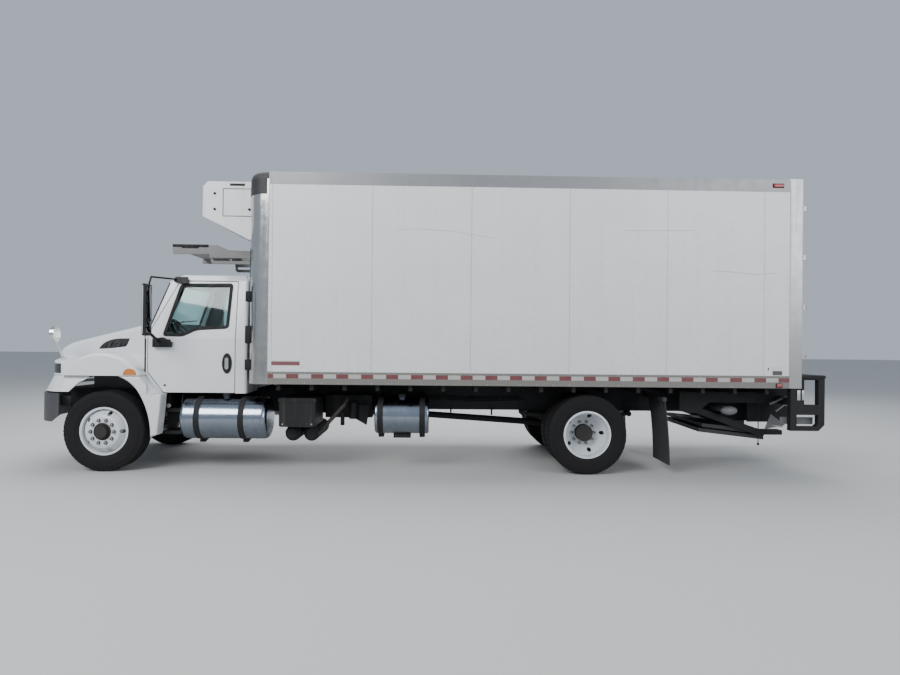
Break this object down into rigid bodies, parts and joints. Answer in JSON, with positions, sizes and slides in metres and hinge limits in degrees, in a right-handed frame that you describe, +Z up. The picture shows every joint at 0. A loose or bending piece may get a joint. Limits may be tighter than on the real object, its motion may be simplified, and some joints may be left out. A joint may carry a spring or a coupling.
{
  "type": "refrigerated truck",
  "caption": "Conventional-cab straight truck with an insulated van body, nose-mounted cooling unit, tuck-under liftgate, tilting hood, opening doors and steered front wheels.",
  "frame": {"origin": "on the ground, under the middle of the whole vehicle", "axes": "+X towards the rear, +Y to the truck's right, +Z up"},
  "size_m": [9.948, 2.92, 3.719],
  "materials": {
    "white_paint": "gloss white enamel, chalked and dusty",
    "polished_metal": "polished sheet on the front corners",
    "grey_rail": "mill-finish extrusion, dulled",
    "chassis_black": "satin black, dusty",
    "engine_grey": "cast",
    "exhaust_steel": "heat-dulled steel",
    "tank_aluminium": "brushed",
    "box_plastic": "grained black",
    "flap_rubber": "worn dark rubber",
    "bumper_grey": "satin grey",
    "tyre_rubber": "dusty black rubber",
    "wheel_white": "white, dusty, rust at the nuts",
    "clear_glass": "clear, faint grey tint",
    "interior_plastic": "dark grey trim and vinyl",
    "grille_chrome": "bright plating",
    "lamp_plastic": "clear lens over bright reflectors",
    "red_lens": "red moulded lens",
    "platform_metal": "galvanised channel and dark deck"
  },
  "bodies": {
    "chassis": {"air_tanks": "chassis_black", "battery_box": "box_plastic", "body_floor": "chassis_black", "body_rails": "grey_rail", "body_roof": "white_paint", "cab_glass": "clear_glass", "cab_interior": "interior_plastic", "cab_shell": "white_paint", "cab_steps": "chassis_black", "cooling_unit": "white_paint", "driveshaft": "chassis_black", "engine": "engine_grey", "exhaust": "exhaust_steel", "frame_rails": "chassis_black", "front_axle": "chassis_black", "front_bumper": "bumper_grey", "front_wall": "polished_metal", "fuel_tanks": "tank_aluminium", "leaf_springs": "chassis_black", "liftgate_frame": "chassis_black", "mud_flaps": "flap_rubber", "rear_axle": "chassis_black", "rear_frame": "grey_rail", "rear_lamps": "red_lens", "service_platform": "platform_metal", "side_walls": "white_paint", "tank_straps": "chassis_black"},
    "hood": {"hood": "white_paint", "fender_flares": "white_paint", "grille": "grille_chrome", "headlamps": "lamp_plastic", "hood_mirrors": "grille_chrome"},
    "cab_door_left": {"door_left": "white_paint", "window_left": "clear_glass", "mirror_left": "box_plastic"},
    "cab_door_right": {"door_right": "white_paint", "window_right": "clear_glass", "mirror_right": "box_plastic"},
    "knuckle_left": {"knuckle_left": "chassis_black"},
    "knuckle_right": {"knuckle_right": "chassis_black"},
    "tie_rod": {"tie_rod": "chassis_black"},
    "front_wheel_left": {"front_tyre_left": "tyre_rubber", "front_rim_left": "wheel_white"},
    "front_wheel_right": {"front_tyre_right": "tyre_rubber", "front_rim_right": "wheel_white"},
    "rear_wheels_left": {"rear_tyres_left": "tyre_rubber", "rear_rims_left": "wheel_white"},
    "rear_wheels_right": {"rear_tyres_right": "tyre_rubber", "rear_rims_right": "wheel_white"},
    "rear_door_left": {"rear_door_left": "white_paint"},
    "rear_door_right": {"rear_door_right": "white_paint"},
    "lift_arms": {"liftgate_arms": "chassis_black"},
    "lift_platform": {"liftgate_platform": "tank_aluminium"}
  },
  "joints": [
    {"name": "steer_left", "type": "hinge", "parent": "chassis", "child": "knuckle_left", "pos_m": [-3.981, -0.88, 0.498], "axis": [0, 0, 1], "range_deg": [-35, 35]},
    {"name": "steer_right", "type": "hinge", "parent": "chassis", "child": "knuckle_right", "pos_m": [-3.981, 0.88, 0.498], "axis": [0, 0, 1], "range_deg": [-35, 35]},
    {"name": "tie_rod_pivot", "type": "hinge", "parent": "knuckle_left", "child": "tie_rod", "pos_m": [-3.791, -0.88, 0.396], "axis": [0, 0, 1], "range_deg": [-35, 35]},
    {"name": "front_wheel_left_spin", "type": "hinge", "parent": "knuckle_left", "child": "front_wheel_left", "pos_m": [-3.981, -1.035, 0.498], "axis": [0, 1, 0], "continuous": true},
    {"name": "front_wheel_right_spin", "type": "hinge", "parent": "knuckle_right", "child": "front_wheel_right", "pos_m": [-3.981, 1.035, 0.498], "axis": [0, 1, 0], "continuous": true},
    {"name": "rear_wheels_left_spin", "type": "hinge", "parent": "chassis", "child": "rear_wheels_left", "pos_m": [2.013, -0.93, 0.498], "axis": [0, 1, 0], "continuous": true},
    {"name": "rear_wheels_right_spin", "type": "hinge", "parent": "chassis", "child": "rear_wheels_right", "pos_m": [2.013, 0.93, 0.498], "axis": [0, 1, 0], "continuous": true},
    {"name": "cab_door_left_hinge", "type": "hinge", "parent": "chassis", "child": "cab_door_left", "pos_m": [-3.526, -1, 1.5], "axis": [0, 0, -1], "range_deg": [0, 65]},
    {"name": "cab_door_right_hinge", "type": "hinge", "parent": "chassis", "child": "cab_door_right", "pos_m": [-3.526, 1, 1.5], "axis": [0, 0, 1], "range_deg": [0, 65]},
    {"name": "hood_tilt", "type": "hinge", "parent": "chassis", "child": "hood", "pos_m": [-4.781, 0, 0.65], "axis": [0, -1, 0], "range_deg": [0, 60]},
    {"name": "rear_door_left_hinge", "type": "hinge", "parent": "chassis", "child": "rear_door_left", "pos_m": [4.711, -1.29, 2.4], "axis": [0, 0, -1], "range_deg": [0, 255]},
    {"name": "rear_door_right_hinge", "type": "hinge", "parent": "chassis", "child": "rear_door_right", "pos_m": [4.711, 1.29, 2.4], "axis": [0, 0, 1], "range_deg": [0, 255]},
    {"name": "lift_arms_pivot", "type": "hinge", "parent": "chassis", "child": "lift_arms", "pos_m": [3.439, 0, 0.82], "axis": [0, 1, 0], "range_deg": [0, 20]},
    {"name": "lift_platform_pivot", "type": "hinge", "parent": "lift_arms", "child": "lift_platform", "pos_m": [4.439, 0, 0.47], "axis": [0, 1, 0], "range_deg": [-20, 0]}
  ],
  "couplings": [
    {"joint": "steer_right", "follows": "steer_left", "ratio": 1},
    {"joint": "tie_rod_pivot", "follows": "steer_left", "ratio": -1},
    {"joint": "lift_platform_pivot", "follows": "lift_arms_pivot", "ratio": -1}
  ]
}
